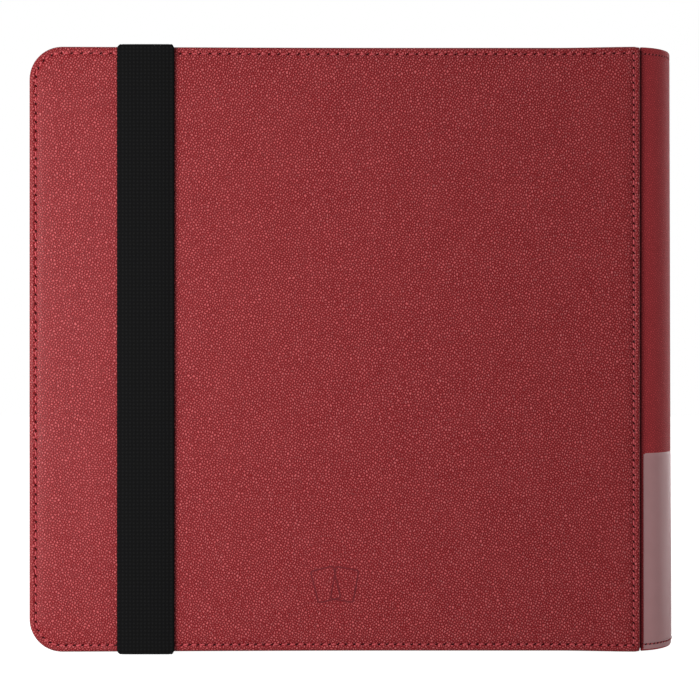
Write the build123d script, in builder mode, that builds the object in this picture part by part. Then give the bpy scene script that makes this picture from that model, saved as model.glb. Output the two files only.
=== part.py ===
"""A closed trading card binder, standing on its bottom edge, in millimetres.

+X points from the fore edge to the spine, +Y from the front cover to the rear cover and +Z up.
The origin is under the middle of the binder, on the surface it stands on.

The binder is two stitched, padded covers that hinge on a half-round spine, with double-sided
pocket leaves bound to a strip inside the spine, and an elastic strap sewn into the rear cover.
"""

import os
from math import sqrt

from build123d import *

# Covers: outline, and the layers from the outside inwards
cover_width = 324.0
cover_height = 320.0
fore_corner_radius = 17.5
hinge_corner_radius = 1.6
binder_depth = 56.0
skin_t = 0.9
foam_t = 1.3
board_t = 2.0
lining_t = 0.6

# Stitching: one line of thread round each cover, sunk flush, and one across each end of the spine
stitch_inset = 3.7
stitch_width = 0.6
stitch_sink = 0.3
stitch_rise = 0.25

# Spine: a half-round shell beside the covers, with a leather hinge in the gap at each cover
spine_radius = 27.5
spine_reach = 20.8
spine_board_t = 1.8
hinge_gap = 0.6
hinge_t = 0.5
hinge_overlap = 1.0
hinge_clearance = 0.1
hinge_end_inset = 1.5

# Label pocket: a clear film on the lower end of the spine
pocket_height = 105.0
film_t = 0.3
film_clearance = 0.1

# Elastic strap and the tabs that hold its ends in the rear cover
strap_width = 30.4
strap_t = 1.3
strap_clearance = 0.3
strap_from_fore_edge = 46.7
strap_tab = 14.0
strap_slot_clearance = 0.2
strap_bend_radius = 2.6
strap_inner_radius = 0.25

# Binding strip with a tab for each leaf, and the cloth tape on its back
binding_t = 1.5
tape_t = 0.4
binding_clearance = 0.12
tab_t = 0.5
tab_end_gap = 0.15

# Leaves: a core sheet with a column of side-loading pockets behind each film
leaf_count = 20
leaf_pitch = 2.0
core_t = 0.5
pocket_film_t = 0.15
pocket_gap = 0.3
pocket_columns = 4
pocket_rows = 3
pocket_width = 68.0
pocket_clear_height = 93.0
weld_width = 2.0
column_gap = 1.0
leaf_margin = 4.0
binding_margin = 20.0
leaf_hinge_inset = 7.5
leaf_heel = 0.3
leaf_corner_radius = 3.0

# Sizes that follow from the ones above
cover_t = skin_t + foam_t + board_t + lining_t
outer_y = binder_depth / 2
total_width = cover_width + spine_reach + film_clearance + film_t + stitch_rise
x_fore = -total_width / 2
x_edge = x_fore + cover_width
x_spine_edge = x_edge + hinge_gap
x_spine_centre = x_edge + spine_reach - spine_radius
z_bottom = strap_clearance + strap_t
z_top = z_bottom + cover_height
strap_x0 = x_fore + strap_from_fore_edge
strap_x1 = strap_x0 + strap_width
lining_radius = spine_radius - skin_t - spine_board_t - lining_t
leaf_hinge_x = x_spine_edge - leaf_hinge_inset
column_pitch = pocket_width + weld_width
row_pitch = pocket_clear_height + weld_width
leaf_width = binding_margin + pocket_columns * column_pitch + leaf_margin
leaf_height = pocket_rows * row_pitch + weld_width + 2 * leaf_margin
leaf_z0 = z_bottom + (cover_height - leaf_height) / 2
leaf_places = [(index - (leaf_count - 1) / 2) * leaf_pitch for index in range(leaf_count)]

os.makedirs("parts", exist_ok=True)


def save(solid, name):
    """Labels a finished piece and writes it as its own STEP file."""
    solid.label = name
    export_step(solid, f"parts/{name}.step")


def depth_plane(side, depth):
    """A plane facing out of one side's cover, that far under its outer face. side is -1 front, 1 rear."""
    return Plane(origin=(0, side * (outer_y - depth), 0), x_dir=(1, 0, 0), z_dir=(0, side, 0))


def cover_outline(inset, side):
    """Draws a cover's outline, moved in by inset, in the sketch that is being built."""
    width = cover_width - 2 * inset
    height = cover_height - 2 * inset
    middle = side * -(z_bottom + cover_height / 2)
    with Locations((x_fore + cover_width / 2, middle)):
        outline = Rectangle(width, height)
    corners = outline.vertices().group_by(Axis.X)
    fillet(corners[0], fore_corner_radius - inset)
    fillet(corners[-1], max(hinge_corner_radius - inset, 0.3))


def cover_layer(side, depth, thickness, inset):
    """One flat layer of a cover, from depth inwards."""
    with BuildPart() as layer:
        with BuildSketch(depth_plane(side, depth)):
            cover_outline(inset, side)
        extrude(amount=-thickness)
    return layer


def strap_slots(depth, thickness, reach):
    """Boxes in the rear cover's ends, where the strap's tabs pass, as (centre, size) pairs."""
    width = strap_width + 2 * strap_slot_clearance
    middle = ((strap_x0 + strap_x1) / 2, outer_y - depth - thickness / 2)
    return [((*middle, z), (width, thickness, 2 * reach)) for z in (z_bottom, z_top)]


def make_cover(name, side):
    """The skin, foam, board, lining and stitching of one cover."""
    with BuildPart() as stitching:
        with BuildSketch(depth_plane(side, 0)):
            cover_outline(stitch_inset - stitch_width / 2, side)
        extrude(amount=-stitch_sink)
        with BuildSketch(depth_plane(side, 0)):
            cover_outline(stitch_inset + stitch_width / 2, side)
        extrude(amount=-stitch_sink, mode=Mode.SUBTRACT)
    save(stitching.part, f"{name}_stitching")

    with BuildPart() as skin:
        with BuildSketch(depth_plane(side, 0)):
            cover_outline(0, side)
        extrude(amount=-cover_t)
        with BuildSketch(depth_plane(side, skin_t)):
            cover_outline(skin_t, side)
        extrude(amount=-(cover_t - skin_t), mode=Mode.SUBTRACT)
        if side > 0:
            for centre, size in strap_slots(skin_t, foam_t, skin_t):
                with Locations(centre):
                    Box(*size, mode=Mode.SUBTRACT)
        add(stitching.part, mode=Mode.SUBTRACT)
    save(skin.part, f"{name}_skin")

    with BuildPart() as foam:
        with BuildSketch(depth_plane(side, skin_t)):
            cover_outline(skin_t, side)
        extrude(amount=-foam_t)
        if side > 0:
            for centre, size in strap_slots(skin_t, foam_t, strap_tab + strap_slot_clearance):
                with Locations(centre):
                    Box(*size, mode=Mode.SUBTRACT)
    save(foam.part, f"{name}_foam")

    board = cover_layer(side, skin_t + foam_t, board_t, skin_t)
    save(board.part, f"{name}_board")

    lining = cover_layer(side, skin_t + foam_t + board_t, lining_t, skin_t)
    save(lining.part, f"{name}_lining")


def spine_sector(outer_radius, inner_radius):
    """Draws the spine's section between two radii, cut off square beside the covers."""
    with Locations((x_spine_centre, 0)):
        Circle(outer_radius)
        Circle(inner_radius, mode=Mode.SUBTRACT)
    with Locations((x_spine_edge, 0)):
        Rectangle(
            2 * spine_radius,
            3 * spine_radius,
            align=(Align.MIN, Align.CENTER),
            mode=Mode.INTERSECT,
        )


def spine_shell(outer_radius, inner_radius, z, height):
    """A half-round shell of the spine, from z upwards."""
    with BuildPart() as shell:
        with BuildSketch(Plane.XY.offset(z)):
            spine_sector(outer_radius, inner_radius)
        extrude(amount=height)
    return shell


def make_spine():
    """The spine's skin, board, lining, stitching, label pocket and two leather hinges."""
    inner_height = cover_height - 2 * skin_t
    board_radius = spine_radius - skin_t
    with BuildPart() as skin:
        with BuildSketch(Plane.XY.offset(z_bottom)):
            spine_sector(spine_radius, lining_radius)
        extrude(amount=cover_height)
        with BuildSketch(Plane.XY.offset(z_bottom + skin_t)):
            spine_sector(board_radius, lining_radius)
        extrude(amount=inner_height, mode=Mode.SUBTRACT)
    save(skin.part, "spine_skin")

    board = spine_shell(board_radius, board_radius - spine_board_t, z_bottom + skin_t, inner_height)
    save(board.part, "spine_board")

    lining = spine_shell(board_radius - spine_board_t, lining_radius, z_bottom + skin_t, inner_height)
    save(lining.part, "spine_lining")

    film_radius = spine_radius + film_clearance
    film = spine_shell(film_radius + film_t, film_radius, z_bottom, pocket_height)
    save(film.part, "label_pocket")

    with BuildPart() as stitching:
        with BuildSketch(Plane.XY.offset(z_top - stitch_inset - stitch_width / 2)):
            spine_sector(spine_radius + stitch_rise, spine_radius)
        extrude(amount=stitch_width)
        with BuildSketch(Plane.XY.offset(z_bottom + stitch_inset - stitch_width / 2)):
            spine_sector(film_radius + film_t + stitch_rise, film_radius + film_t)
        extrude(amount=stitch_width)
    save(stitching.part, "spine_stitching")

    spine_end_y = sqrt(spine_radius**2 - (x_spine_edge - x_spine_centre) ** 2)
    depth = outer_y - hinge_clearance - (spine_end_y - hinge_overlap)
    for name, side in (("front", -1), ("rear", 1)):
        with BuildPart() as hinge:
            with BuildSketch(Plane.XY.offset(z_bottom + hinge_end_inset)):
                middle = side * (outer_y - hinge_clearance - depth / 2)
                with Locations((x_spine_edge - hinge_t / 2, middle)):
                    Rectangle(hinge_t, depth)
            extrude(amount=cover_height - 2 * hinge_end_inset)
        save(hinge.part, f"{name}_hinge")


def chord(x):
    """Half the width inside the spine's lining at x."""
    return sqrt(lining_radius**2 - (x - x_spine_centre) ** 2)


def make_binding():
    """The strip that the leaves hang on, across the mouth of the spine, and the tape on its back."""
    x_tape = x_spine_edge + binding_t
    with BuildPart() as strip:
        with BuildSketch(Plane.XY.offset(leaf_z0)):
            with Locations((x_spine_edge + binding_t / 2, 0)):
                Rectangle(binding_t, 2 * (chord(x_tape) - binding_clearance))
            tab_length = leaf_hinge_inset - leaf_heel - tab_end_gap
            for y in leaf_places:
                with Locations((x_spine_edge, y)):
                    Rectangle(tab_length, tab_t, align=(Align.MAX, Align.CENTER))
        extrude(amount=leaf_height)
    save(strip.part, "binding_strip")

    with BuildPart() as tape:
        with BuildSketch(Plane.XY.offset(leaf_z0)):
            with Locations((x_tape + tape_t / 2, 0)):
                Rectangle(tape_t, 2 * (chord(x_tape + tape_t) - binding_clearance))
        extrude(amount=leaf_height)
    save(tape.part, "binding_tape")


def make_strap():
    """The elastic strap: over the front cover and both ends, with a tab sewn into each end of the rear cover."""
    front_y = -(outer_y + strap_clearance + strap_t)
    rear_y = outer_y - skin_t
    height = cover_height + 2 * (strap_clearance + strap_t)
    with BuildPart() as strap:
        with BuildSketch(Plane.YZ.offset(strap_x0)):
            with Locations(((front_y + rear_y) / 2, height / 2)):
                RectangleRounded(rear_y - front_y, height, strap_bend_radius)
                RectangleRounded(
                    rear_y - front_y - 2 * strap_t,
                    height - 2 * strap_t,
                    strap_inner_radius,
                    mode=Mode.SUBTRACT,
                )
            with Locations((rear_y, height / 2)):
                Rectangle(4 * strap_t, cover_height - 2 * strap_tab, mode=Mode.SUBTRACT)
        extrude(amount=strap_width)
    save(strap.part, "elastic_strap")


def pocket_column(side, column):
    """One column of pockets on one face of a leaf: a film on weld ribs, open towards the spine."""
    x_open = leaf_hinge_x - binding_margin - column * column_pitch
    film_width = column_pitch - column_gap
    height = leaf_height - 2 * leaf_margin
    face = Plane(origin=(0, side * core_t / 2, 0), x_dir=(1, 0, 0), z_dir=(0, side, 0))
    middle = side * -(leaf_z0 + leaf_height / 2)
    x_middle = x_open - film_width / 2
    with BuildPart() as film:
        with BuildSketch(face):
            with Locations((x_middle, middle)):
                with GridLocations(0, row_pitch, 1, pocket_rows + 1):
                    Rectangle(film_width, weld_width)
            with Locations((x_open - film_width, middle)):
                Rectangle(weld_width, height, align=(Align.MIN, Align.CENTER))
        extrude(amount=pocket_gap)
        with BuildSketch(face.offset(pocket_gap)):
            with Locations((x_middle, middle)):
                Rectangle(film_width, height)
        extrude(amount=pocket_film_t)
    return film.part


def make_leaves():
    """Builds one leaf on the middle plane, then writes a copy of it at each place in the stack."""
    with BuildPart() as core:
        with BuildSketch(Plane.XZ.offset(-core_t / 2)) as sheet:
            with Locations((leaf_hinge_x + leaf_heel, leaf_z0)):
                outline = Rectangle(leaf_width + leaf_heel, leaf_height, align=(Align.MAX, Align.MIN))
            fillet(outline.vertices().group_by(Axis.X)[0], leaf_corner_radius)
        extrude(amount=core_t)
    columns = [pocket_column(side, c) for side in (-1, 1) for c in range(pocket_columns)]
    for index, y in enumerate(leaf_places):
        place = Location((0, y, 0))
        save(core.part.moved(place), f"leaf_{index + 1:02d}_core")
        pockets = Compound(children=[film.moved(place) for film in columns])
        save(pockets, f"leaf_{index + 1:02d}_pockets")


make_cover("front", -1)
make_cover("rear", 1)
make_spine()
make_binding()
make_strap()
make_leaves()
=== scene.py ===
"""The looks of a trading card binder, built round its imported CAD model, in metres."""

import math

import bpy
import numpy as np

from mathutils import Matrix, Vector


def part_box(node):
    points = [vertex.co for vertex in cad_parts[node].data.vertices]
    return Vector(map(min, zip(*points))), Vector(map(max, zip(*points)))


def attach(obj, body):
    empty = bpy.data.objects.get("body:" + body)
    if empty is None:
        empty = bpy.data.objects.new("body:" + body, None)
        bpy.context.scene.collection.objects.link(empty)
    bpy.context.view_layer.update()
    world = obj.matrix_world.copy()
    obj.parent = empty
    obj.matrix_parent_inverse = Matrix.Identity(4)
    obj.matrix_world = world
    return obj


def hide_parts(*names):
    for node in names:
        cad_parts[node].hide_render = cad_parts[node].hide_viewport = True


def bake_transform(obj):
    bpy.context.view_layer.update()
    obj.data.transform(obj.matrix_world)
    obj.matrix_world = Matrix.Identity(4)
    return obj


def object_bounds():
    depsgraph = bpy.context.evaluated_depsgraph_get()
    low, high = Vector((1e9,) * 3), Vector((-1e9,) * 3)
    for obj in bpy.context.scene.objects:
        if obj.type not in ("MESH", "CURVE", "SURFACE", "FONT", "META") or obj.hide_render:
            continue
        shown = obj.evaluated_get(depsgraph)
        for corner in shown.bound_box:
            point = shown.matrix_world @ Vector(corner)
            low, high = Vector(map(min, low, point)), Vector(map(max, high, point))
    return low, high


MM = 0.001

# Covers: the seam, and how the leather is shaped from the inside border over the edge to the face
STITCH_INSET = 3.7
STITCHES = (72, 80, 60, 64)  # along the bottom, the hinge edge, the top and the fore edge
GRID = (36, 48, 36, 48)  # divisions of the flat middle along the same sides
POINTS_PER_STITCH = 3
STITCH_SIZE = (2.8, 0.9, 0.36)  # length, width, rise
STITCH_SLANT = 0.1
HOLE_SIZE = (1.5, 0.85)  # length, width
HOLE_SLANT = 0.45
SEAM_DEPTHS = ((0.4, 0.4), (4.84, 4.92))  # stitches and holes, on the face and on the inside
FORE_RADIUS = 17.5
HINGE_RADIUS = 1.6
SHARPEST_RADIUS = 0.25
BORDER = 9.0
FORE_BOW = {-1: 2.2, 1: 0.8}  # by side: the front cover, then the rear one
BOW_SPAN = (-40, 190)  # where the bow is at its largest and where it ends, from the fore edge
SWELL, HINGE_SWELL = 0.3, 0.8  # how far the padding stands out, and how much more next to the spine
HINGE_SWELL_WIDTH = 45
BOW_STRETCH, SWELL_STRETCH = 0.0008, 0.0036  # part of the height gained for each millimetre outwards
HALF_THICKNESS = 2.5
INSIDE_DEPTH = 3.9  # deeper points of the profile lie on the cover's inside
EDGE_UNROLLED = 0.8  # how much of the way down the edge the grain is laid out flat
INSIDE_GRAIN_SHIFT = 400  # so the inside border doesn't repeat the grain of the face
LINING_DEPTH = 4.82
COVER_PROFILE = [
    # inset from the edge, depth under the outer face, extra depth at the needle holes
    (BORDER, 4.35, 0.0),
    (BORDER, 4.75, 0.0),
    (BORDER - 0.4, 4.95, 0.0),
    (5.0, 4.92, 0.0),
    (4.3, 4.88, 0.05),
    (3.7, 4.70, 0.15),
    (3.1, 4.88, 0.05),
    (1.6, 4.90, 0.0),
    (0.7, 4.72, 0.0),
    (0.2, 4.3, 0.0),
    (0.0, 3.6, 0.0),
    (0.0, 2.2, 0.0),
    (0.15, 1.35, 0.0),
    (0.5, 0.75, 0.0),
    (1.1, 0.32, 0.0),
    (1.9, 0.12, 0.0),
    (2.6, 0.16, 0.02),
    (3.2, 0.4, 0.12),
    (3.7, 0.62, 0.3),
    (4.2, 0.4, 0.12),
    (4.9, 0.08, 0.02),
    (6.0, -0.1, 0.0),
    (8.0, -0.22, 0.0),
    (12.0, -0.3, 0.0),
]

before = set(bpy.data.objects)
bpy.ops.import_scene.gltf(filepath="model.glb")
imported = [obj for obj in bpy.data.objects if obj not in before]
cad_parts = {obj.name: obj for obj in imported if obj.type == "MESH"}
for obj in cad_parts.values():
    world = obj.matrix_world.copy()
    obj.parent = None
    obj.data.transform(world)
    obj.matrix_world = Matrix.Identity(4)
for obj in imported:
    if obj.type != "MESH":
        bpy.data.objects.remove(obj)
cad_low, cad_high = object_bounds()
skin_low, skin_high = [np.array(corner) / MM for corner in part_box("front_skin")]
x_fore, x_edge = skin_low[0], skin_high[0]
z_bottom, z_top = skin_low[2], skin_high[2]
outer_y = -skin_low[1]
cover_width = x_edge - x_fore
cover_height = z_top - z_bottom


# Helpers


def add_mesh(name, vertices, faces, material, body, replaces=(), grain=None):
    """Makes a smooth mesh from vertices in millimetres, and says what it rides on and stands for.

    grain gives each vertex's place on the unrolled leather, also in millimetres.
    """
    mesh = bpy.data.meshes.new(name)
    mesh.from_pydata((np.asarray(vertices) * MM).tolist(), [], [list(map(int, f)) for f in faces])
    mesh.polygons.foreach_set("use_smooth", [True] * len(mesh.polygons))
    mesh.materials.append(material)
    if grain is not None:
        place = mesh.attributes.new("grain", "FLOAT_VECTOR", "POINT")
        flat = np.column_stack([grain, np.zeros(len(grain))]) * MM
        place.data.foreach_set("vector", flat.astype(np.float32).ravel())
    obj = bpy.data.objects.new(name, mesh)
    bpy.context.scene.collection.objects.link(obj)
    if replaces:
        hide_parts(*replaces)
    if body:
        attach(obj, body)
    return obj


def grid_faces(rows, columns, closed=False, flip=False):
    """Quads over a grid of vertices stored row by row; closed joins the last column to the first."""
    faces = []
    for r in range(rows - 1):
        for c in range(columns if closed else columns - 1):
            d = (c + 1) % columns
            quad = (r * columns + c, r * columns + d, (r + 1) * columns + d, (r + 1) * columns + c)
            faces.append(quad[::-1] if flip else quad)
    return faces


def smoothstep(value, start, end):
    """From 0 at start to 1 at end, level at both."""
    t = np.clip((value - start) / (end - start), 0, 1)
    return t * t * (3 - 2 * t)


# Materials


class Nodes:
    """A small wrapper that adds and links shader nodes of one material."""

    def __init__(self, name):
        self.material = bpy.data.materials.new(name)
        self.material.use_nodes = True
        self.tree = self.material.node_tree
        self.shader = self.tree.nodes["Principled BSDF"]

    def add(self, kind, inputs=None, **settings):
        node = self.tree.nodes.new(kind)
        for key, value in settings.items():
            setattr(node, key, value)
        for key, value in (inputs or {}).items():
            if isinstance(value, bpy.types.NodeSocket):
                self.tree.links.new(value, node.inputs[key])
            else:
                node.inputs[key].default_value = value
        return node

    def math(self, operation, *values):
        return self.add("ShaderNodeMath", dict(enumerate(values)), operation=operation).outputs[0]

    def vector_math(self, operation, inputs):
        return self.add("ShaderNodeVectorMath", inputs, operation=operation).outputs[0]

    def noise(self, place, scale, detail):
        return self.add("ShaderNodeTexNoise", {"Vector": place, "Scale": scale, "Detail": detail})

    def ramp(self, factor, stops):
        """A colour ramp; each stop is (position, colour)."""
        node = self.add("ShaderNodeValToRGB", {0: factor})
        elements = node.color_ramp.elements
        while len(elements) < len(stops):
            elements.new(0.5)
        for element, (position, colour) in zip(elements, stops):
            element.position = position
            element.color = (*colour, 1)
        return node.outputs["Color"]

    def set(self, **values):
        """Sets or links the shader's own sockets; underscores stand for spaces."""
        for key, value in values.items():
            socket = self.shader.inputs[key.replace("_", " ")]
            if isinstance(value, bpy.types.NodeSocket):
                self.tree.links.new(value, socket)
            else:
                socket.default_value = value


def fine_grained(name, colour, roughness, bumps, relief, mottle=0.12, **values):
    """Thread, film and the like: soft mottling under a fine grain of so many bumps a metre."""
    m = Nodes(name)
    place = m.add("ShaderNodeTexCoord").outputs["Object"]
    grain = m.noise(place, bumps, 3.0).outputs["Fac"]
    patches = m.noise(place, bumps / 12, 2.0).outputs["Fac"]
    dark, light = [tuple(c * (1 + sign * mottle) for c in colour) for sign in (-1, 1)]
    m.set(Base_Color=m.ramp(patches, [(0.3, dark), (0.7, light)]))
    bump = m.add("ShaderNodeBump", {"Height": grain, "Strength": relief, "Distance": 0.1 * MM})
    uneven = m.math("MULTIPLY_ADD", grain, 0.16, roughness - 0.08)
    m.set(Normal=bump.outputs[0], Roughness=uneven, **values)
    return m.material


def leather(name, pebble_colour_and_highlight, valley_colour_and_shade, spacing, relief, roughness, specular):
    """Pebbled leather: round pebbles, so many millimetres apart; the colour runs from darker valleys to
    lighter pebble tops, partly the grain's own colour and partly painted shade in the valleys and a painted
    highlight on the tops.
    """
    m = Nodes(name)
    place = m.add("ShaderNodeAttribute", attribute_name="grain").outputs["Vector"]
    # A wobble of about half a millimetre keeps the pebbles out of rows
    wobble = m.noise(place, 260.0, 1.0).outputs["Color"]
    shift = m.vector_math("SUBTRACT", {0: wobble, 1: (0.5, 0.5, 0.5)})
    small = m.vector_math("SCALE", {0: shift, "Scale": 1.2 * MM})
    warped = m.vector_math("ADD", {0: place, 1: small})
    turned = m.add("ShaderNodeVectorRotate", {"Vector": warped, "Angle": 0.6}, rotation_type="Z_AXIS")
    distance = m.add(
        "ShaderNodeTexVoronoi",
        {"Vector": turned.outputs[0], "Scale": 1 / (spacing * MM), "Randomness": 0.82},
        voronoi_dimensions="2D",
        feature="DISTANCE_TO_EDGE",
    ).outputs["Distance"]
    height = m.add(
        "ShaderNodeMapRange",
        {"Value": distance, "From Min": 0.07, "From Max": 0.42, "To Min": 0.0, "To Max": 1.0},
        interpolation_type="SMOOTHSTEP",
    ).outputs["Result"]
    tone = m.noise(place, 60.0, 3.0).outputs["Fac"]
    factor = m.math("ADD", height, m.math("MULTIPLY_ADD", tone, 0.16, -0.08))
    # The ramp by pebble height holds painted shade in the valleys and a painted highlight on the pebble
    # tops, besides the leather's own colour
    m.set(Base_Color=m.ramp(factor, [(0.0, valley_colour_and_shade), (1.0, pebble_colour_and_highlight)]))
    bump = m.add("ShaderNodeBump", {"Height": height, "Strength": relief, "Distance": 0.3 * MM})
    m.set(Normal=bump.outputs[0], Roughness=roughness, Specular_IOR_Level=specular)
    return m.material


def woven(name, colour, ribs, relief):
    """Woven elastic or cloth: ribs per metre along its length, crossed by others as fine."""
    m = Nodes(name)
    place = m.add("ShaderNodeTexCoord").outputs["Object"]
    waves = [
        m.add("ShaderNodeTexWave", {"Vector": place, "Scale": ribs, "Distortion": 0.8}, bands_direction=axis)
        for axis in ("X", "Z")
    ]
    height = m.math("MULTIPLY", waves[0].outputs["Fac"], waves[1].outputs["Fac"])
    m.set(Base_Color=m.ramp(height, [(0.0, colour), (1.0, tuple(2 * c for c in colour))]))
    bump = m.add("ShaderNodeBump", {"Height": height, "Strength": relief, "Distance": 0.3 * MM})
    m.set(Normal=bump.outputs[0], Roughness=0.9, Specular_IOR_Level=0.05)
    return m.material


# Each pebble colour holds a painted highlight and each valley colour painted shade, besides the leather's
# own colour
cover_leather = leather(
    "cover_leather", pebble_colour_and_highlight=(0.46, 0.08, 0.085), valley_colour_and_shade=(0.16, 0.0025, 0.005),
    spacing=1.4, relief=1.0, roughness=0.38, specular=0.2,
)
spine_leather = leather(
    "spine_leather", pebble_colour_and_highlight=(0.5, 0.058, 0.066), valley_colour_and_shade=(0.27, 0.024, 0.029),
    spacing=1.2, relief=0.25, roughness=0.6, specular=0.06,
)
elastic = woven("elastic", (0.0042, 0.0042, 0.0043), ribs=160.0, relief=0.7)
lining_cloth = woven("lining_cloth", (0.008, 0.008, 0.009), ribs=220.0, relief=0.3)
thread = fine_grained(
    "thread", (0.42, 0.055, 0.065), 0.7, bumps=3000.0, relief=0.6, Specular_IOR_Level=0.3
)
pressed_leather = fine_grained(
    "pressed_leather", (0.12, 0.006, 0.01), 0.4, bumps=1500.0, relief=0.4, Specular_IOR_Level=0.3
)
# Near black: painted shade inside the needle holes
needle_hole_shade = fine_grained(
    "needle_hole_shade", (0.02, 0.001, 0.002), 0.9, bumps=2000.0, relief=0.3, Specular_IOR_Level=0.1
)
# Near black red: the hinges are painted dark as painted shade in the groove between the covers and the spine
hinge_leather_shade = fine_grained(
    "hinge_leather_shade", (0.05, 0.003, 0.005), 0.8, bumps=1200.0, relief=0.6, Specular_IOR_Level=0.1
)
leaf_black = fine_grained("leaf_black", (0.008, 0.008, 0.009), 0.55, bumps=900.0, relief=0.4, mottle=0.25)
clear_film = fine_grained(
    "clear_film", (0.9, 0.92, 0.94), 0.16, bumps=220.0, relief=0.3, mottle=0.04, Alpha=0.14, IOR=1.45
)
frosted_film = fine_grained(
    "frosted_film", (0.78, 0.53, 0.54), 0.32, bumps=1500.0, relief=0.15, mottle=0.03,
    Alpha=0.42, Specular_IOR_Level=1.0,
)


# Covers


def side_fractions(radii, k, width, height):
    """Where side k leaves its first corner and enters its second, as parts of the seam's length there."""
    length = (width if k % 2 == 0 else height) - radii[k] - radii[(k + 1) % 4]
    arcs = [radii[k] * math.pi / 4, radii[(k + 1) % 4] * math.pi / 4]
    total = arcs[0] + length + arcs[1]
    return arcs[0] / total, 1 - arcs[1] / total


def corner_radii(inset):
    """The radii at the bottom fore, bottom hinge, top hinge and top fore corners, at this inset."""
    base = (FORE_RADIUS, HINGE_RADIUS, HINGE_RADIUS, FORE_RADIUS)
    return [max(radius - inset, SHARPEST_RADIUS) for radius in base]


SEAM_RADII = corner_radii(STITCH_INSET)
SEAM_FRACTIONS = [
    side_fractions(SEAM_RADII, k, cover_width - 2 * STITCH_INSET, cover_height - 2 * STITCH_INSET)
    for k in range(4)
]


def outline(inset, counts):
    """Points round a cover at this inset, so many along each side, and the outward direction at each."""
    radii = corner_radii(inset)
    low = np.array([x_fore + inset, z_bottom + inset])
    high = np.array([x_edge - inset, z_top - inset])
    corners = [low, (high[0], low[1]), high, (low[0], high[1])]
    inwards = [(1, 1), (-1, 1), (-1, -1), (1, -1)]
    centres = [np.add(corner, np.multiply(inward, r)) for corner, inward, r in zip(corners, inwards, radii)]
    points, outwards = [], []
    for k in range(4):
        here, there = centres[k], centres[(k + 1) % 4]
        r_here, r_there = radii[k], radii[(k + 1) % 4]
        start, end = SEAM_FRACTIONS[k]
        for t in np.arange(counts[k]) / counts[k]:
            turn = min((t - start) / start, 0) + max((t - end) / (1 - end), 0)
            part = np.clip((t - start) / (end - start), 0, 1)
            angle = math.radians(90 * k - 90 + 45 * turn)
            outward = np.array([math.cos(angle), math.sin(angle)])
            points.append((here + r_here * outward) * (1 - part) + (there + r_there * outward) * part)
            outwards.append(outward)
    return np.array(points), np.array(outwards)


def fine_outline(inset):
    return outline(inset, [count * POINTS_PER_STITCH for count in STITCHES])


def bow(side, x):
    """How far a whole cover bends away from the leaves towards its fore edge, in millimetres."""
    return FORE_BOW[side] * (1 - smoothstep(x, x_fore + BOW_SPAN[0], x_fore + BOW_SPAN[1]))


def swell(x):
    """How far the padding stands out, in millimetres: more next to the spine."""
    return SWELL + HINGE_SWELL * smoothstep(x, x_edge - HINGE_SWELL_WIDTH, x_edge)


def place_on_cover(side, points, depth):
    """Turns (x, z) points and their depths under a cover's outer face into 3-D points.

    The padding's swell fades over the edge of the cover, so the inside stays flat but for the bow.
    """
    depth = np.broadcast_to(depth, len(points))
    x, z = points[:, 0], points[:, 1]
    out = bow(side, x) + swell(x) * (1 - smoothstep(depth, 0.5, 4.0))
    middle = (z_bottom + z_top) / 2
    taller = 1 + BOW_STRETCH * bow(side, x) + SWELL_STRETCH * swell(x)
    return np.column_stack([x, side * (outer_y - depth + out), middle + (z - middle) * taller])


def fill_grid(ring):
    """A grid of points that spans a closed ring of GRID divisions, and the grid's border in ring order."""
    across, up = GRID[:2]
    marks = np.cumsum([0, *GRID])
    closed = np.vstack([ring, ring[:1]])
    bottom, right, top, left = [closed[marks[k] : marks[k + 1] + 1] for k in range(4)]
    top, left = top[::-1], left[::-1]
    u = np.linspace(0, 1, across + 1)[None, :, None]
    v = np.linspace(0, 1, up + 1)[:, None, None]
    sides = (1 - v) * bottom[None] + v * top[None] + (1 - u) * left[:, None] + u * right[:, None]
    corners = (1 - u) * ((1 - v) * bottom[0] + v * top[0]) + u * ((1 - v) * bottom[-1] + v * top[-1])
    row = across + 1
    border = list(range(across)) + [r * row + across for r in range(up)]
    border += [up * row + c for c in range(across, 0, -1)] + [r * row for r in range(up, 0, -1)]
    return (sides - corners).reshape(-1, 2), border


def grid_middle_faces(loop_start, loop_counts, grid_start, border, flip):
    """Faces that join a closed loop of vertices to a grid's border, and the grid's own faces."""
    loop_length = sum(loop_counts)
    steps = [loop_counts[k] // GRID[k] for k in range(4) for _ in range(GRID[k])]
    faces, at = [], 0
    for i, step in enumerate(steps):
        face = [loop_start + (at + j) % loop_length for j in range(step + 1)]
        face += [grid_start + border[(i + 1) % len(border)], grid_start + border[i]]
        faces.append(face[::-1] if flip else face)
        at += step
    faces += [[grid_start + v for v in f] for f in grid_faces(GRID[1] + 1, GRID[0] + 1, flip=flip)]
    return faces


def make_cover_leather(name, side, body):
    """The leather of one cover, from its border on the inside, over the edge, to its padded face."""
    holes = np.tile([1.0] + [0.0] * (POINTS_PER_STITCH - 1), sum(STITCHES))
    layers, grain = [], []
    for inset, depth, extra in COVER_PROFILE:
        points, outwards = fine_outline(inset)
        layers.append(place_on_cover(side, points, depth + np.sign(HALF_THICKNESS - depth) * extra * holes))
        unrolled = points + outwards * min(depth, HALF_THICKNESS) * EDGE_UNROLLED
        grain.append(unrolled + (INSIDE_GRAIN_SHIFT if depth > INSIDE_DEPTH else 0))
    loop = len(layers[0])
    faces = grid_faces(len(layers), loop, closed=True, flip=side > 0)
    inset, depth, _ = COVER_PROFILE[-1]
    middle, border = fill_grid(outline(inset + 2, GRID)[0])
    layers.append(place_on_cover(side, middle, depth))
    grain.append(middle)
    counts = [count * POINTS_PER_STITCH for count in STITCHES]
    last = loop * (len(COVER_PROFILE) - 1)
    faces += grid_middle_faces(last, counts, last + loop, border, side > 0)
    cover = add_mesh(
        f"{name}_cover_leather", np.vstack(layers), faces, cover_leather, body,
        [f"{name}_skin", f"{name}_foam", f"{name}_board"], grain=np.vstack(grain),
    )


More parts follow.
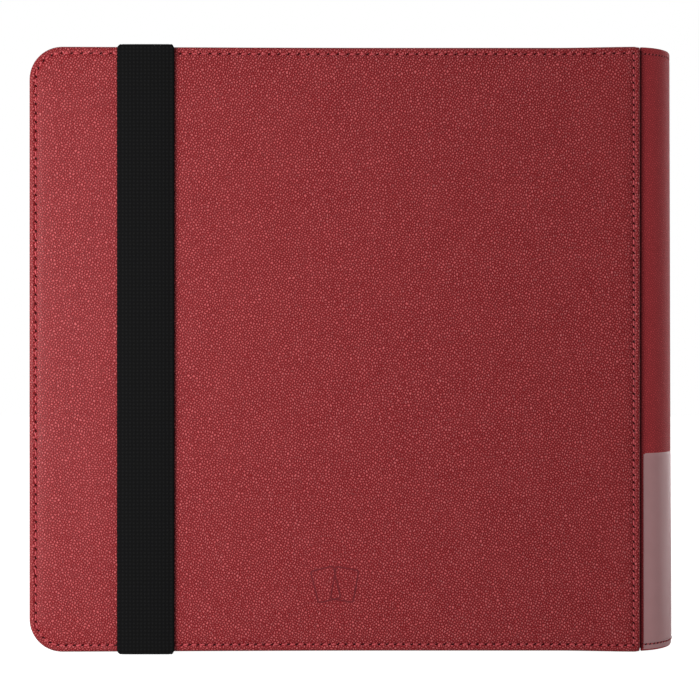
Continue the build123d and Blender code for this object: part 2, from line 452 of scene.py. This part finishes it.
def stitch_mesh(centres, alongs, outs, size, slant):
    """One rounded stitch at each centre, lying along one direction and standing out in another."""
    length, width, rise = size
    # place along the stitch, part of its full width and rise
    ends = [(-0.5, 0.3), (-0.34, 0.85), (0.0, 1.0), (0.34, 0.85), (0.5, 0.3)]
    around = [(math.cos(a), math.sin(a)) for a in np.radians([0, 45, 90, 135, 180])]
    vertices, faces = [], []
    for centre, along, out in zip(centres, alongs, outs):
        across = np.cross(out, along)
        first = len(vertices)
        for position, fullness in ends:
            middle = centre + (along + across * slant) * position * length
            sink = out * rise * (fullness - 1) * 0.8
            for c, s in around:
                vertices.append(middle + sink + across * c * width / 2 * fullness + out * s * rise)
        faces += [[first + v for v in f] for f in grid_faces(len(ends), len(around), flip=True)]
    return vertices, faces


def hole_mesh(centres, alongs, outs, slant):
    """A small dark slanted slit at each needle hole, as painted shade inside the hole."""
    length, width = HOLE_SIZE
    vertices, faces = [], []
    for centre, along, out in zip(centres, alongs, outs):
        across = np.cross(out, along)
        lean = along + across * slant
        faces.append(list(range(len(vertices), len(vertices) + 8)))
        for a in np.radians(np.arange(0, 360, 45)):
            vertices.append(centre + lean * math.cos(a) * length / 2 + across * math.sin(a) * width / 2)
    return vertices, faces


def make_cover_stitching(name, side, body):
    """The seam round a cover, as separate stitches and dark slits of painted shade at the needle holes, on
    its face and on its inside.
    """
    stitches, slits = [[], [], []], [[], [], []]
    for (stitch_depth, hole_depth), face in zip(SEAM_DEPTHS, (side, -side)):
        ring = outline(STITCH_INSET, [2 * count for count in STITCHES])[0]
        points = place_on_cover(side, ring, stitch_depth)
        at_holes = place_on_cover(side, ring, hole_depth)
        along = np.roll(points[0::2], -1, axis=0) - points[0::2]
        along /= np.linalg.norm(along, axis=1)[:, None]
        out = [np.array([0, face, 0])] * len(along)
        for rows, centres in ((stitches, points[1::2]), (slits, at_holes[0::2])):
            rows[0].extend(centres)
            rows[1].extend(along)
            rows[2].extend(out)
    vertices, faces = stitch_mesh(*stitches, STITCH_SIZE, STITCH_SLANT)
    add_mesh(f"{name}_cover_stitches", vertices, faces, thread, body, [f"{name}_stitching"])
    # Dark slits of painted shade at the needle holes
    vertices, faces = hole_mesh(*slits, HOLE_SLANT)
    add_mesh(f"{name}_cover_hole_shade_slits", vertices, faces, needle_hole_shade, body)


def make_cover_lining(name, side, body):
    """The cloth inside a cover, within the leather border."""
    # how far the edge overlaps the leather border, depth
    tucked, edge = [
        place_on_cover(side, outline(BORDER - overlap, GRID)[0], depth)
        for overlap, depth in ((0.6, 4.1), (0.2, 4.78))
    ]
    middle, border = fill_grid(outline(BORDER + 1.5, GRID)[0])
    loop = sum(GRID)
    faces = grid_faces(2, loop, closed=True, flip=side < 0)
    faces += grid_middle_faces(loop, GRID, 2 * loop, border, side < 0)
    vertices = np.vstack([tucked, edge, place_on_cover(side, middle, LINING_DEPTH)])
    add_mesh(f"{name}_cover_lining", vertices, faces, lining_cloth, body, [f"{name}_lining"])


for cover_name, cover_side, cover_body in (("front", -1, "front_cover"), ("rear", 1, "rear_cover")):
    make_cover_leather(cover_name, cover_side, cover_body)
    make_cover_stitching(cover_name, cover_side, cover_body)
    make_cover_lining(cover_name, cover_side, cover_body)


# A plain pressed mark on the front cover: two overlapping blank cards

MARK_CENTRE = (162.0, 35.5)  # from the fore edge and from the bottom
CARD_SIZE = (13.0, 18.0)
CARD_CORNER = 1.6
MARK_LINE = 0.8
MARK_DEPTH = -0.34  # just over the leather's face, where COVER_PROFILE ends
MARK_CARDS = ((-5.0, 14), (5.0, -10))  # shift along X and turn in degrees of each card


def card_outline(centre, turn, inset):
    """Points round one card of the mark, as (x, z)."""
    radius = CARD_CORNER - inset
    half = np.array(CARD_SIZE) / 2 - inset - radius
    points = []
    for k, corner in enumerate(((1, 1), (-1, 1), (-1, -1), (1, -1))):
        for a in np.radians(np.linspace(90 * k, 90 * k + 90, 6)):
            points.append(half * corner + radius * np.array([math.cos(a), math.sin(a)]))
    angle = math.radians(turn)
    rotation = np.array([[math.cos(angle), math.sin(angle)], [-math.sin(angle), math.cos(angle)]])
    return np.array(points) @ rotation + centre


def make_pressed_mark():
    centre = np.array([x_fore + MARK_CENTRE[0], z_bottom + MARK_CENTRE[1]])
    vertices, faces = [], []
    for shift, turn in MARK_CARDS:
        first = sum(len(v) for v in vertices)
        for inset in (0.0, MARK_LINE):
            ring = card_outline(centre + (shift, 0), turn, inset)
            vertices.append(place_on_cover(-1, ring, MARK_DEPTH))
        faces += [[first + v for v in f] for f in grid_faces(2, len(ring), closed=True)]
    add_mesh("front_pressed_mark", np.vstack(vertices), faces, pressed_leather, "front_cover")


make_pressed_mark()


# Spine

SPINE_END_PROFILE = [
    # inset from the spine's end, depth under its outer face, extra depth at the needle holes
    (7.0, 3.36, 0.0),
    (1.2, 3.4, 0.0),
    (0.3, 3.2, 0.0),
    (0.0, 2.6, 0.0),
    (0.0, 1.2, 0.0),
    (0.25, 0.5, 0.0),
    (0.8, 0.15, 0.0),
    (1.6, 0.0, 0.0),
    (2.9, 0.03, 0.0),
    (3.3, 0.14, 0.05),
    (3.7, 0.26, 0.15),
    (4.1, 0.14, 0.05),
    (4.6, 0.03, 0.0),
    (8.0, 0.0, 0.0),
]
SPINE_INNER_DEPTH = 3.36  # where the two side edges end, turned in towards the hollow
SPINE_STITCH_PITCH = 2.6
SPINE_STITCH_SIZE = (1.7, 0.6, 0.22)  # length, width, rise
SPINE_STITCH_SLANT = 0.1
SPINE_HOLE_SLANT = 0.3
UPPER_SEAM_LIFT = -0.2  # the lower seam goes over the label pocket instead
POCKET_HEIGHT = 104.8
POCKET_FOOT = 1.0
POCKET_RISE = 0.35
POCKET_MARGIN = 1.2  # from its sides to the spine's; its upper corners are rounded down as much
SPINE_LEAN = 0.4  # outwards at the lower end and inwards at the upper
SPINE_DROP = 0.45  # of the lower end
SPINE_RISE = (0.5, 0.6)  # of the whole upper end, and more of its outermost part

spine_low, spine_high = [np.array(corner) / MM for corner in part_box("spine_skin")]
spine_edge_x, spine_half = spine_low[0], spine_high[1]
spine_reach = spine_high[0] - spine_edge_x
spine_radius = (spine_half**2 + spine_reach**2) / (2 * spine_reach)
spine_axis_x = spine_high[0] - spine_radius
half_angle = math.acos((spine_edge_x - spine_axis_x) / spine_radius)
half_arc = spine_radius * half_angle
spine_stitches = round(2 * half_arc / SPINE_STITCH_PITCH)


def place_on_spine(along, depth, z):
    """A point on the spine, from its distance round the outer face, its depth under it and its height."""
    along, depth, z = np.broadcast_arrays(along, depth, z)
    radius = spine_radius - depth
    limit = np.arccos((spine_edge_x - spine_axis_x) / radius)
    angle = along / half_arc * limit
    up = (z - z_bottom) / cover_height
    lean = SPINE_LEAN * (1 - 2 * up) * np.cos(angle)
    lift = (SPINE_RISE[0] + SPINE_RISE[1] * np.cos(angle)) * up - SPINE_DROP * (1 - up)
    return np.column_stack([spine_axis_x + radius * np.cos(angle) + lean, radius * np.sin(angle), z + lift])


def make_spine_leather():
    """The spine's leather, with its two side edges turned in towards the hollow."""
    columns = np.linspace(-half_arc, half_arc, 2 * spine_stitches + 1)
    holes = (np.arange(len(columns)) % 2 == 0).astype(float)
    ends = [(z_bottom + inset, depth, extra) for inset, depth, extra in SPINE_END_PROFILE]
    rows = ends + [(z_bottom + z_top - z, depth, extra) for z, depth, extra in ends[::-1]]
    vertices, grain = [], []
    for z, depth, extra in rows:
        face = place_on_spine(columns, depth + extra * holes, z)
        inner = max(depth, SPINE_INNER_DEPTH)
        left, right = [place_on_spine(sign * half_arc, inner, z) for sign in (-1, 1)]
        vertices.append(np.vstack([left, face, right]))
        around = np.concatenate([[columns[0] - 3], columns, [columns[-1] + 3]])
        grain.append(np.column_stack([around, np.full(len(around), z + depth)]))
    faces = grid_faces(len(rows), len(columns) + 2)
    add_mesh(
        "spine_leather", np.vstack(vertices), faces, spine_leather, "spine",
        ["spine_skin"], grain=np.vstack(grain),
    )


def make_spine_stitching():
    """Stitches and dark slits of painted shade at the needle holes across the spine's two ends; the lower
    row also holds the label pocket.
    """
    stitches, slits = [[], [], []], [[], [], []]
    marks = np.linspace(-half_arc, half_arc, 2 * spine_stitches + 1)
    for z, lift in ((z_bottom + STITCH_INSET, POCKET_RISE), (z_top - STITCH_INSET, UPPER_SEAM_LIFT)):
        points = place_on_spine(marks, -lift, z)
        for rows, chosen in ((stitches, slice(1, None, 2)), (slits, slice(0, None, 2))):
            angles = marks[chosen] / half_arc * half_angle
            outs = np.column_stack([np.cos(angles), np.sin(angles), 0 * angles])
            rows[0].extend(points[chosen] + 0.04 * outs)
            rows[1].extend(np.column_stack([-np.sin(angles), np.cos(angles), 0 * angles]))
            rows[2].extend(outs)
    vertices, faces = stitch_mesh(*stitches, SPINE_STITCH_SIZE, SPINE_STITCH_SLANT)
    add_mesh("spine_stitches", vertices, faces, thread, "spine", ["spine_stitching"])
    # Dark slits of painted shade at the needle holes
    vertices, faces = hole_mesh(*slits, SPINE_HOLE_SLANT)
    add_mesh("spine_hole_shade_slits", vertices, faces, needle_hole_shade, "spine")


def make_label_pocket():
    """The frosted film on the lower end of the spine, with a softened top edge."""
    columns = np.linspace(-half_arc + POCKET_MARGIN, half_arc - POCKET_MARGIN, 49)
    near_sides = smoothstep(abs(columns), half_arc - 2.5, half_arc - 0.8) ** 3
    # part of the height, part of the rise
    rows = [(0.0, -0.05), (0.05, 1), (0.5, 1.0), (0.97, 1.0), (0.995, 0.85), (1.0, 0.1)]
    vertices = []
    for part, lift in rows:
        z = z_bottom + POCKET_FOOT + part * (POCKET_HEIGHT - POCKET_FOOT)
        corner = POCKET_MARGIN * near_sides * (part > 0.9)
        vertices.append(place_on_spine(columns, -POCKET_RISE * lift, z - corner))
    faces = grid_faces(len(rows), len(columns))
    add_mesh("label_film", np.vstack(vertices), faces, frosted_film, "spine", ["label_pocket"])


make_spine_leather()
make_spine_stitching()
make_label_pocket()


# Elastic strap

STRAP_LIFT = 1.95  # the padded cover pushes the strap out this far
STRAP_THICKNESS = 1.3
STRAP_TAB = 12  # how far it runs up inside the rear cover
STRAP_REAR_BEND, STRAP_FRONT_BEND = 0.4, 1.4  # radii of its inner face
STRAP_NARROWING = 0.11  # how much narrower the elastic is where it goes over the edges
STRAP_SECTION = [
    # part of the half width, height above the inner face
    (-1.0, 0.35),
    (-0.99, 1.0),
    (-0.965, 1.25),
    (-0.93, 1.3),
    (-0.9, 1.18),
    (-0.87, 1.3),
    (-0.4, 1.32),
    (0.4, 1.32),
    (0.87, 1.3),
    (0.9, 1.18),
    (0.93, 1.3),
    (0.965, 1.25),
    (0.99, 1.0),
    (1.0, 0.35),
    (0.97, 0.0),
    (-0.97, 0.0),
]
strap_low, strap_high = [np.array(corner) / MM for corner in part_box("elastic_strap")]


def strap_bend(y, z, radius, start):
    """A quarter turn about (y, z), clockwise from the start angle: its points and outward directions."""
    outs = [(math.cos(a), math.sin(a)) for a in np.radians(np.linspace(start, start - 90, 7))]
    return [((y + radius * out_y, z + radius * out_z), (out_y, out_z)) for out_y, out_z in outs]


def strap_path():
    """Points on the strap's inner face as (y, z), and the outward direction at each, from tab to tab."""
    front = strap_low[1] + STRAP_THICKNESS - STRAP_LIFT
    rear = strap_high[1] - STRAP_THICKNESS
    bottom, top = strap_low[2] + STRAP_THICKNESS, strap_high[2] - STRAP_THICKNESS
    middle = (bottom + top) / 2
    front_heights = [*(bottom + np.array([2.5, 4, 6, 9, 14])), middle - 70]
    lower = [((rear, bottom + STRAP_TAB), (1, 0))]
    lower += strap_bend(rear - STRAP_REAR_BEND, bottom + STRAP_REAR_BEND, STRAP_REAR_BEND, 0)
    lower += [((y, bottom), (0, -1)) for y in np.linspace(rear - 3, front + 4, 12)]
    lower += strap_bend(front + STRAP_FRONT_BEND, bottom + STRAP_FRONT_BEND, STRAP_FRONT_BEND, -90)
    lower += [((front, z), (-1, 0)) for z in front_heights]
    upper = [((y, 2 * middle - z), (out_y, -out_z)) for (y, z), (out_y, out_z) in lower[::-1]]
    path = lower + upper
    return np.array([p for p, _ in path]), np.array([o for _, o in path])


def make_strap():
    """The woven elastic, narrower over the edges, that bends between the rear cover and its front run."""
    centre_x, half = (strap_low[0] + strap_high[0]) / 2, (strap_high[0] - strap_low[0]) / 2
    points, outs = strap_path()
    from_end = np.minimum(points[:, 1] - strap_low[2], strap_high[2] - points[:, 1])
    front_run = points[:, 0] < strap_low[1] + STRAP_THICKNESS
    narrow = 1 - STRAP_NARROWING * np.where(front_run, 1 - smoothstep(from_end, 0.4, 2.6), 1)
    vertices = []
    for (y, z), (out_y, out_z), width in zip(points, outs, narrow):
        for part, height in STRAP_SECTION:
            vertices.append((centre_x + part * half * width, y + out_y * height, z + out_z * height))
    faces = grid_faces(len(points), len(STRAP_SECTION), closed=True)
    first_end = list(range(len(STRAP_SECTION)))
    last_end = [(len(points) - 1) * len(STRAP_SECTION) + i for i in first_end]
    faces += [first_end, last_end[::-1]]
    strap = add_mesh("strap_elastic", vertices, faces, elastic, None, ["elastic_strap"])
    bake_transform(strap)


make_strap()


# Finishes of the CAD parts that show as they are

FINISHES = {
    # The hinges get painted shade of the groove by the spine
    "front_hinge": hinge_leather_shade,
    "rear_hinge": hinge_leather_shade,
    "spine_lining": lining_cloth,
    "spine_board": lining_cloth,
    "binding_strip": leaf_black,
    "binding_tape": lining_cloth,
}
for node_name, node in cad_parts.items():
    finish = FINISHES.get(node_name)
    if node_name.startswith("leaf_"):
        finish = leaf_black if node_name.endswith("_core") else clear_film
    if finish:
        node.data.materials.clear()
        node.data.materials.append(finish)


# Floor, light and camera

FLOOR_REACH = 3.0
AIM = (0.0, 0.0, 0.16)
LIGHTS = [
    # name, place, target, size and power, in metres and watts
    ("left_softbox", (-0.5, -0.52, 0.15), (-0.07, 0.0, 0.16), 0.45, 7.1),
    ("top_softbox", (0.1, -0.3, 1.6), AIM, 1.2, 2.5),
    ("back_softbox", (0.9, 1.3, 0.5), AIM, 1.2, 9.0),
    ("right_softbox", (1.1, 0.45, 0.2), AIM, 0.8, 3.0),
]
CAMERA_DISTANCE = 850.0
CAMERA_OFFSET = (169.9, -0.4)  # from the fore edge, and from the middle of the height
FRAME_WIDTH = 371.2
SENSOR_WIDTH = 36.0


def area_light(name, place, target, size, power):
    """A square light that points at its target; it doesn't show itself."""
    data = bpy.data.lights.new(name, "AREA")
    data.shape, data.size, data.energy = "SQUARE", size, power
    light = bpy.data.objects.new(name, data)
    light.location = place
    direction = np.array(target) - np.array(place)
    light.rotation_mode = "QUATERNION"
    light.rotation_quaternion = Vector(direction).to_track_quat("-Z", "Y")
    light.visible_camera = False
    bpy.context.scene.collection.objects.link(light)


def add_floor():
    """A white floor just under the binder, which neither lights it nor is reflected in it."""
    white = Nodes("floor")
    white.set(Base_Color=(0.3, 0.3, 0.3, 1), Roughness=1.0)
    white.set(Emission_Color=(1, 1, 1, 1), Emission_Strength=1.0)
    mesh = bpy.data.meshes.new("floor")
    corners = [(FLOOR_REACH * x, FLOOR_REACH * y, 0) for x, y in ((-1, -1), (1, -1), (1, 1), (-1, 1))]
    mesh.from_pydata(corners, [], [(0, 1, 2, 3)])
    mesh.materials.append(white.material)
    floor = bpy.data.objects.new("floor", mesh)
    floor.location.z = cad_low[2] - 0.2 * MM
    bpy.context.scene.collection.objects.link(floor)
    floor.visible_diffuse = floor.visible_glossy = False


def add_world(seen, lighting):
    """A white studio: seen is how bright it looks itself, lighting how much it lights the binder."""
    world = bpy.data.worlds.new("studio")
    world.use_nodes = True
    tree = world.node_tree
    path = tree.nodes.new("ShaderNodeLightPath")
    strength = tree.nodes.new("ShaderNodeMapRange")
    strength.inputs["To Min"].default_value = lighting
    strength.inputs["To Max"].default_value = seen
    tree.links.new(path.outputs["Is Camera Ray"], strength.inputs["Value"])
    background = tree.nodes["Background"]
    background.inputs["Color"].default_value = (1, 1, 1, 1)
    tree.links.new(strength.outputs["Result"], background.inputs["Strength"])
    bpy.context.scene.world = world


add_floor()
add_world(seen=1.0, lighting=0.4)
bpy.context.scene.view_settings.view_transform = "Standard"

for light in LIGHTS:
    area_light(*light)

camera_data = bpy.data.cameras.new("camera")
camera_data.sensor_width = SENSOR_WIDTH
camera_data.lens = SENSOR_WIDTH * CAMERA_DISTANCE / FRAME_WIDTH
camera = bpy.data.objects.new("camera", camera_data)
camera_x = x_fore + CAMERA_OFFSET[0]
camera_z = (z_bottom + z_top) / 2 + CAMERA_OFFSET[1]
camera.location = (camera_x * MM, -(outer_y + CAMERA_DISTANCE) * MM, camera_z * MM)
camera.rotation_euler = (math.pi / 2, 0, 0)
bpy.context.scene.collection.objects.link(camera)
bpy.context.scene.camera = camera
